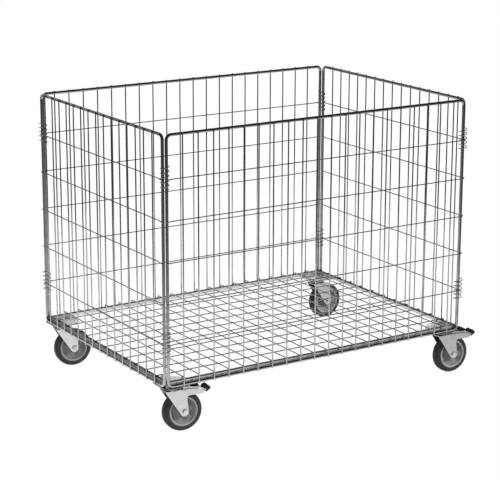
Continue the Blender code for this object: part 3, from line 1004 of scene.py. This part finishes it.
def fork(castor):
    """Pressed fork: two legs with rolled edges, crown, lower race, axle bosses."""
    size = sizes("castor")
    tag = castor.tag
    mat = zinc_sheet()
    face = size.leg_in + size.leg / 2
    hole = circle(size.trail, size.wheel, size.axle + 0.35 * MM, 32)
    parts = []
    for side in (-1, 1):
        leg = sheet("leg", [leg_outline(castor.braked), hole], size.leg, 0.8 * MM,
                    side * face, True, 3)
        parts.append(leg)
        # pressed ring round the axle, standing proud of the outer face
        out = size.leg_in + size.leg
        ring = [(6.2 * MM, -0.6 * MM), (6.2 * MM, 0.25 * MM), (10.6 * MM, 0.25 * MM),
                (11.3 * MM, 0.0), (11.3 * MM, -0.6 * MM)]
        boss = turned("boss", ring, 40)
        stand = Matrix.Translation((size.trail, side * out, size.wheel))
        tip = Matrix.Rotation(radians(-90 * side), 4, "X")
        boss.data.transform(stand @ tip)
        parts.append(boss)
    half = size.leg_in + size.leg - 0.9 * MM
    nose = arc(0, 0, size.race, 125, 235, 18)
    rear = 30 * MM if castor.braked else 27 * MM
    crown = sheet("crown", [nose + [(rear, -half), (rear, half)]],
                  size.crown_top - size.crown_low, 0.6 * MM,
                  (size.crown_top + size.crown_low) / 2)
    parts.append(crown)
    race = [(15 * MM, 134 * MM), (24 * MM, 134 * MM), (26.4 * MM, 138.6 * MM),
            (27 * MM, 139.4 * MM), (27 * MM, 141.6 * MM), (26.5 * MM, 142.1 * MM),
            (20 * MM, 142.1 * MM), (15 * MM, 141 * MM)]
    parts.append(turned("lower_race", race[::-1], 56))
    if castor.braked:
        out = size.leg_in + size.leg
        profile = [(0.0, out + 0.9 * MM), (1.8 * MM, out + 0.8 * MM), (2.6 * MM, out + 0.3 * MM),
                   (2.7 * MM, out - MM), (2.45 * MM, out - MM), (2.45 * MM, -out + MM),
                   (2.7 * MM, -out + MM), (2.6 * MM, -out - 0.3 * MM),
                   (1.8 * MM, -out - 0.8 * MM), (0.0, -out - 0.9 * MM)]
        pin = turned("pin", profile, 24, closed=False)
        pin.data.transform(Matrix.Translation((size.pin_u, 0, size.pin_z))
                           @ Matrix.Rotation(radians(-90), 4, "X"))
        parts.append(pin)
    # the lower race takes the dark steel, painted shade where it sits between crown and plate
    for part in parts:
        part.data.materials.clear()
        lower = part.name.startswith("lower_race")
        part.data.materials.append(race_shade_steel() if lower else mat)
    obj = merged("castor_" + tag + "_fork_sheet", parts)
    fitted(obj, castor.swivel_body, None, castor.place,
           ("castor_" + tag + "_fork",))


def axle(castor):
    """Axle bolt, flanged head and lock nut."""
    size = sizes("castor")
    face = size.leg_in + size.leg + 0.3 * MM
    shank = [(0, face + 5.4 * MM), (4.6 * MM, face + 5.4 * MM), (5.4 * MM, face + 4.8 * MM),
             (5.45 * MM, -face), (0, -face)]
    parts = [turned("shank", shank, 32, closed=False)]
    head = hex_nut("head", 15 * MM, 4.6 * MM, 2.2 * MM)
    head.data.transform(Matrix.Translation((0, 0, 0.9 * MM)))
    lock = head.data.copy()
    dome = turned("dome", [(0.0, 4.2 * MM), (2.6 * MM, 4.2 * MM), (2.6 * MM, 0.5 * MM),
                           (0.0, 0.5 * MM)], 24, closed=False)
    flange_line = [(9.2 * MM, 0.0), (9.2 * MM, 0.5 * MM), (8.4 * MM, 1.1 * MM),
                   (2.4 * MM, 1.1 * MM), (2.4 * MM, 0.0)][::-1]
    front = [head, dome, turned("flange", flange_line, 40)]
    back = [piece("lock", lock), turned("flange", flange_line, 40)]
    turn_front = Matrix.Translation((0, -face, 0)) @ Matrix.Rotation(radians(90), 4, "X")
    turn_back = Matrix.Translation((0, face, 0)) @ Matrix.Rotation(radians(-90), 4, "X")
    parts[0].data.transform(Matrix.Rotation(radians(-90), 4, "X"))
    for part in front:
        part.data.transform(turn_front)
    for part in back:
        part.data.transform(turn_back)
    parts += front + back
    mat = bright_bolt()
    for part in parts:
        part.data.materials.clear()
        part.data.materials.append(mat)
    obj = merged("castor_" + castor.tag + "_axle_bolt", parts)
    fitted(obj, castor.swivel_body, None, castor.hub,
           ("castor_" + castor.tag + "_axle",))


def tyre(castor):
    """Rubber tyre with rounded shoulders, a fine rib and a bead on each side."""
    size = sizes("castor")
    w = size.tyre_half
    r = size.wheel
    side = []
    side += [(r, 0.0), (r, 5.6 * MM), (r - 0.55 * MM, 6.1 * MM), (r - 0.05 * MM, 6.7 * MM),
             (r - 0.15 * MM, 8.0 * MM)]
    side += [(r - 1.1 * MM, 10.6 * MM), (r - 2.7 * MM, 12.9 * MM), (r - 5.2 * MM, 14.7 * MM),
             (r - 8.0 * MM, 15.6 * MM), (r - 9.2 * MM, 15.2 * MM), (r - 10.0 * MM, 15.7 * MM),
             (size.tyre_in + 2.0 * MM, w), (size.tyre_in + 0.6 * MM, w - 0.5 * MM),
             (size.tyre_in, w - 1.6 * MM)]
    mirror = [(a, -b) for a, b in side[1:]]
    profile = mirror[::-1] + side
    obj = turned("castor_" + castor.tag + "_tyre_rubber", profile[::-1], 96)
    obj.data.transform(Matrix.Rotation(radians(90), 4, "X"))
    fitted(obj, castor.wheel_body, tyre_rubber(), castor.hub,
           ("castor_" + castor.tag + "_tyre",))


def hub_height(radius, angle, pockets):
    """Face height of the moulded hub: boss, scalloped web, rim."""
    boss = 19.6 * MM
    web = 9.4 * MM
    rim = 14.6 * MM
    r = radius / MM
    if r < 13.0:
        return boss
    if r < 16.5:
        t = (r - 13.0) / 3.5
        return boss + (web - boss) * t * t * (3 - 2 * t)
    if r < 38.5:
        t = (r - 16.5) / 22.0
        depth = sin(pi * t) ** 1.2 * (0.5 + 0.5 * cos(pockets * angle)) ** 1.6
        return web + 1.2 * MM * t - 4.6 * MM * depth
    if r < 42.0:
        t = (r - 38.5) / 3.5
        return web + 1.2 * MM + (rim - web - 1.2 * MM) * t * t * (3 - 2 * t)
    return rim


def hub_face(name, pockets, phase):
    """Both faces of the hub as one closed skin, with its bore."""
    size = sizes("castor")
    radii = [5.9, 9.0, 12.6, 13.4, 14.4, 15.4, 16.5, 19, 22, 25, 28, 31, 34, 36.5, 38.5,
             39.4, 40.3, 41.2, 42.0]
    steps = 90
    outer = size.tyre_in - 0.1 * MM
    bm = bmesh.new()
    faces = []
    for sign in (1, -1):
        rings = []
        for r in radii:
            ring = []
            for k in range(steps):
                a = 2 * pi * k / steps
                h = hub_height(r * MM, a + phase * sign, pockets)
                ring.append(bm.verts.new((r * MM * cos(a), r * MM * sin(a), sign * h)))
            rings.append(ring)
        ring = [bm.verts.new((outer * cos(2 * pi * k / steps), outer * sin(2 * pi * k / steps),
                              sign * 14.6 * MM)) for k in range(steps)]
        rings.append(ring)
        faces.append(rings)
        for inner_ring, outer_ring in zip(rings, rings[1:]):
            for k in range(steps):
                j = (k + 1) % steps
                bm.faces.new((inner_ring[k], inner_ring[j], outer_ring[j], outer_ring[k]))
    for number in (0, -1):
        upper = faces[0][number]
        lower = faces[1][number]
        for k in range(steps):
            j = (k + 1) % steps
            bm.faces.new((upper[k], upper[j], lower[j], lower[k]))
    bmesh.ops.recalc_face_normals(bm, faces=bm.faces)
    mesh = bpy.data.meshes.new(name)
    bm.to_mesh(mesh)
    bm.free()
    return smooth(piece(name, mesh), 50)


def hub(castor, phase):
    size = sizes("castor")
    web = hub_face("web", 5, phase)
    web.data.materials.append(hub_plastic())
    rings = []
    for sign in (1, -1):
        seat = size.tyre_in
        line = [(40.4 * MM, 13.2 * MM), (41.2 * MM, 14.9 * MM), (42.4 * MM, 15.75 * MM),
                (45.4 * MM, 15.75 * MM), (seat - 0.5 * MM, 15.2 * MM), (seat - 0.3 * MM, 14.2 * MM)]
        ring = turned("ring", line[::-1] if sign > 0 else line, 90)
        if sign < 0:
            ring.data.transform(Matrix.Diagonal((1, 1, -1, 1)))
            ring.data.flip_normals()
        ring.data.materials.append(hub_ring_plastic())
        rings.append(ring)
    obj = merged("castor_" + castor.tag + "_hub_moulding", [web] + rings)
    obj.data.transform(Matrix.Rotation(radians(90), 4, "X"))
    fitted(obj, castor.wheel_body, None, castor.hub, ("castor_" + castor.tag + "_hub",))


def brake(castor):
    """Rocker lever with its two foot pads, drawn from the pin."""
    size = sizes("castor")
    tag = castor.tag
    joint = JOINTS["castor_" + tag + "_brake"]
    body = joint["child"]
    place = Matrix.Translation(Vector(joint["pos_m"])) @ castor.turn
    wide = size.leg_in - 0.6 * MM
    tread = rounded(scaled([(-6, 8), (24, 8), (50, 3.2), (70.5, -8.2), (71.8, -6), (50.6, 5.6),
                            (24, 10.4), (-6, 10.4)]),
                    [0.4 * MM, 8 * MM, 8 * MM, 0.4 * MM, 0.4 * MM, 8 * MM, 8 * MM, 0.4 * MM], 4)
    cheek = rounded(scaled([(-6, 9), (-6, -1), (-3.6, -3.8), (6, -3.8), (12, 1), (48, 1.4),
                            (48, 4.5), (24, 9)]), 1.6 * MM, 4)
    shoe = rounded(scaled([(15, 9), (15, -3.4), (27, -4.4), (27, 9)]), 0.8 * MM, 3)
    hole = circle(0, 0, 2.85 * MM, 24)
    parts = [sheet("tread", [tread], 2 * wide, 0.5 * MM, 0.0, True),
             sheet("shoe", [shoe], 18 * MM, 0.4 * MM, 0.0, True)]
    for side in (-1, 1):
        parts.append(sheet("cheek", [cheek, hole], 2 * MM, 0.4 * MM, side * (wide - MM), True))
    mat = zinc_sheet()
    for part in parts:
        part.data.materials.clear()
        part.data.materials.append(mat)
    lever = merged("castor_" + tag + "_lever_sheet", parts)
    fitted(lever, body, None, place, ("castor_" + tag + "_brake_lever",))
    inner = rounded(scaled([(28.5, 10.7), (48, 7.0), (49.4, 11), (45, 15.9), (30, 16.4)]),
                    1.6 * MM, 4)
    outer = rounded(scaled([(71.6, -14.4), (75, -14.2), (88.2, -4.6), (81.4, 4.6),
                            (69.6, -0.2), (69.8, -4.8), (72.4, -6)]), 1.4 * MM, 4)
    shapes = {"inner": (inner, 13 * MM), "outer": (outer, 16.5 * MM)}
    for which, (outline, half_width) in shapes.items():
        obj = sheet("castor_" + tag + "_foot_pad_" + which, [outline], 2 * half_width,
                    1.1 * MM, 0.0, True, 3)
        fitted(obj, body, pedal_plastic(), place,
               ("castor_" + tag + "_pad_" + which,))


class CONTAINER_OT_castor_mounts(bpy.types.Operator):
    """Make the corner plates, castor plates and nuts"""
    bl_idname = "container.castor_mounts"
    bl_label = "Castor mounts"

    def execute(self, context):
        for tag in CORNERS:
            castor = CastorPlace(tag)
            corner_plate(castor)
            castor_plate(castor)
            plate_nuts(castor)
        return {"FINISHED"}


class CONTAINER_OT_forks(bpy.types.Operator):
    """Make the pressed forks and the axle bolts"""
    bl_idname = "container.forks"
    bl_label = "Forks and axles"

    def execute(self, context):
        for tag in CORNERS:
            fork(CastorPlace(tag))
            axle(CastorPlace(tag))
        return {"FINISHED"}


class CONTAINER_OT_wheels(bpy.types.Operator):
    """Make the tyres and the moulded hubs"""
    bl_idname = "container.wheels"
    bl_label = "Wheels"

    def execute(self, context):
        for number, tag in enumerate(CORNERS):
            tyre(CastorPlace(tag))
            hub(CastorPlace(tag), 0.35 + 0.5 * number)
        return {"FINISHED"}


class CONTAINER_OT_brakes(bpy.types.Operator):
    """Make the brake levers and their foot pads"""
    bl_idname = "container.brakes"
    bl_label = "Brakes"

    def execute(self, context):
        for tag in BRAKED:
            brake(CastorPlace(tag))
        return {"FINISHED"}


# =================================================================== stage
def floor_material(reach):
    """White paper floor whose light falls away with distance from the object."""
    mat, tree, shader = new_material("studio_floor")
    tree.nodes.remove(shader)
    out = tree.nodes["Material Output"]
    path = node(tree, "ShaderNodeLightPath")
    place = node(tree, "ShaderNodeTexCoord").outputs["Object"]
    distance = node(tree, "ShaderNodeVectorMath", operation="LENGTH")
    tree.links.new(place, distance.inputs[0])
    share = math_node(tree, "DIVIDE", distance.outputs["Value"], reach)
    fall = math_node(tree, "ADD", math_node(tree, "POWER", share, 5.0), 1.0)
    glow = math_node(tree, "DIVIDE", 0.95, fall)
    glow = math_node(tree, "ADD", glow, 0.06)
    split = node(tree, "ShaderNodeSeparateXYZ")
    tree.links.new(place, split.inputs[0])
    # painted shadow: the floor's glow falls by about a third from x -0.6 m to x 0.4 m, standing in
    # for the cage's shade and light from the left
    across = ranged(tree, split.outputs["X"], -0.6, 0.4, 1.0, 0.68)
    glow = math_node(tree, "MULTIPLY", glow, across)
    soft = math_node(tree, "MULTIPLY", path.outputs["Is Diffuse Ray"], -0.55)
    glow = math_node(tree, "MULTIPLY", glow, math_node(tree, "ADD", soft, 1.0))
    strength = math_node(tree, "MAXIMUM", glow, path.outputs["Is Camera Ray"])
    emission = node(tree, "ShaderNodeEmission")
    emission.inputs["Color"].default_value = (1, 1, 1, 1)
    tree.links.new(strength, emission.inputs["Strength"])
    tree.links.new(emission.outputs[0], out.inputs["Surface"])
    return mat


def studio_world():
    """White for the eye; for the metal a dark room with a pale wall low down behind."""
    world = bpy.data.worlds.new("studio")
    bpy.context.scene.world = world
    world.use_nodes = True
    tree = world.node_tree
    back = tree.nodes["Background"]
    out = tree.nodes["World Output"]
    back.inputs["Color"].default_value = (1, 1, 1, 1)
    back.inputs["Strength"].default_value = 1.0
    room = node(tree, "ShaderNodeBackground")
    place = node(tree, "ShaderNodeTexCoord").outputs["Generated"]
    split = node(tree, "ShaderNodeSeparateXYZ")
    tree.links.new(place, split.inputs[0])
    behind = node(tree, "ShaderNodeVectorMath", operation="DOT_PRODUCT")
    tree.links.new(place, behind.inputs[0])
    behind.inputs[1].default_value = (0.5, 0.86, 0.0)
    wall = ranged(tree, behind.outputs["Value"], 0.25, 0.75, 0.0, 0.85)
    low = ranged(tree, split.outputs["Z"], 0.34, 0.46, 1.0, 0.0)
    tone = math_node(tree, "ADD", math_node(tree, "MULTIPLY", wall, low), 0.035)
    tree.links.new(tone, room.inputs["Strength"])
    mix = node(tree, "ShaderNodeMixShader")
    path = node(tree, "ShaderNodeLightPath")
    tree.links.new(path.outputs["Is Camera Ray"], mix.inputs[0])
    tree.links.new(room.outputs[0], mix.inputs[1])
    tree.links.new(back.outputs[0], mix.inputs[2])
    tree.links.new(mix.outputs[0], out.inputs["Surface"])


def area_light(name, place, target, size, power):
    data = bpy.data.lights.new(name, "AREA")
    data.shape = "SQUARE"
    data.size = size
    data.energy = power
    obj = bpy.data.objects.new(name, data)
    collection().objects.link(obj)
    obj.location = place
    obj.rotation_euler = (Vector(target) - Vector(place)).to_track_quat("-Z", "Y").to_euler()
    obj.visible_glossy = False
    return obj


def camera(settings):
    data = bpy.data.cameras.new("camera")
    data.sensor_width = 36.0
    data.lens = settings.lens
    data.clip_end = 60.0
    obj = bpy.data.objects.new("camera", data)
    collection().objects.link(obj)
    obj.location = (-3.0162, -4.6693, 1.8910)
    yaw = radians(32.489)
    pitch = radians(14.640)
    roll = radians(0.166)
    turn = Matrix.Rotation(-yaw, 4, "Z") @ Matrix.Rotation(pi / 2 - pitch, 4, "X")
    turn = turn @ Matrix.Rotation(roll, 4, "Z")
    obj.rotation_euler = turn.to_euler()
    bpy.context.scene.camera = obj


class CONTAINER_OT_stage(bpy.types.Operator):
    """Make the floor, the studio light and the camera"""
    bl_idname = "container.stage"
    bl_label = "Stage"

    def execute(self, context):
        settings = sizes("stage")
        bm = bmesh.new()
        bmesh.ops.create_circle(bm, cap_ends=True, segments=96, radius=14.0)
        mesh = bpy.data.meshes.new("studio_floor")
        bm.to_mesh(mesh)
        bm.free()
        floor = piece("studio_floor", mesh, floor_material(settings.reach))
        floor.location = (0, 0, -0.0005)
        studio_world()
        area_light("key_light", (4.2, -3.4, 2.6), (0, 0, 0.2), 1.4, 330)
        area_light("fill_light", (-3.6, -3.2, 3.2), (0, 0, 0.4), 2.6, 105)
        area_light("top_light", (0.6, 2.2, 5.0), (0, 0, 0.3), 2.4, 110)
        camera(settings)
        context.scene.view_settings.view_transform = "Standard"
        return {"FINISHED"}


# =================================================================== panel
class CONTAINER_PT_looks(bpy.types.Panel):
    """Sizes, finishes and build steps of the roll container"""
    bl_idname = "CONTAINER_PT_looks"
    bl_label = "Roll container"
    bl_space_type = "VIEW_3D"
    bl_region_type = "UI"
    bl_category = "Roll container"

    def draw(self, context):
        layout = self.layout
        for name, group in SETTINGS.items():
            box = layout.box()
            box.label(text=group.__name__.replace("Settings", ""))
            for key in group.__annotations__:
                box.prop(getattr(context.scene, name), key)
        for step in STEPS:
            layout.operator(step.bl_idname)


STEPS = (CONTAINER_OT_stage, CONTAINER_OT_panels, CONTAINER_OT_coils, CONTAINER_OT_base,
         CONTAINER_OT_castor_mounts, CONTAINER_OT_forks, CONTAINER_OT_wheels,
         CONTAINER_OT_brakes)
CLASSES = (*SETTINGS.values(), *STEPS, CONTAINER_PT_looks)


def register():
    for cls in CLASSES:
        bpy.utils.register_class(cls)
    for name, group in SETTINGS.items():
        setattr(bpy.types.Scene, name, PointerProperty(type=group))


def unregister():
    for name in SETTINGS:
        delattr(bpy.types.Scene, name)
    for cls in reversed(CLASSES):
        bpy.utils.unregister_class(cls)


def main():
    register()
    for step in STEPS:
        area, name = step.bl_idname.split(".")
        getattr(getattr(bpy.ops, area), name)()


if __name__ == "__main__":
    main()
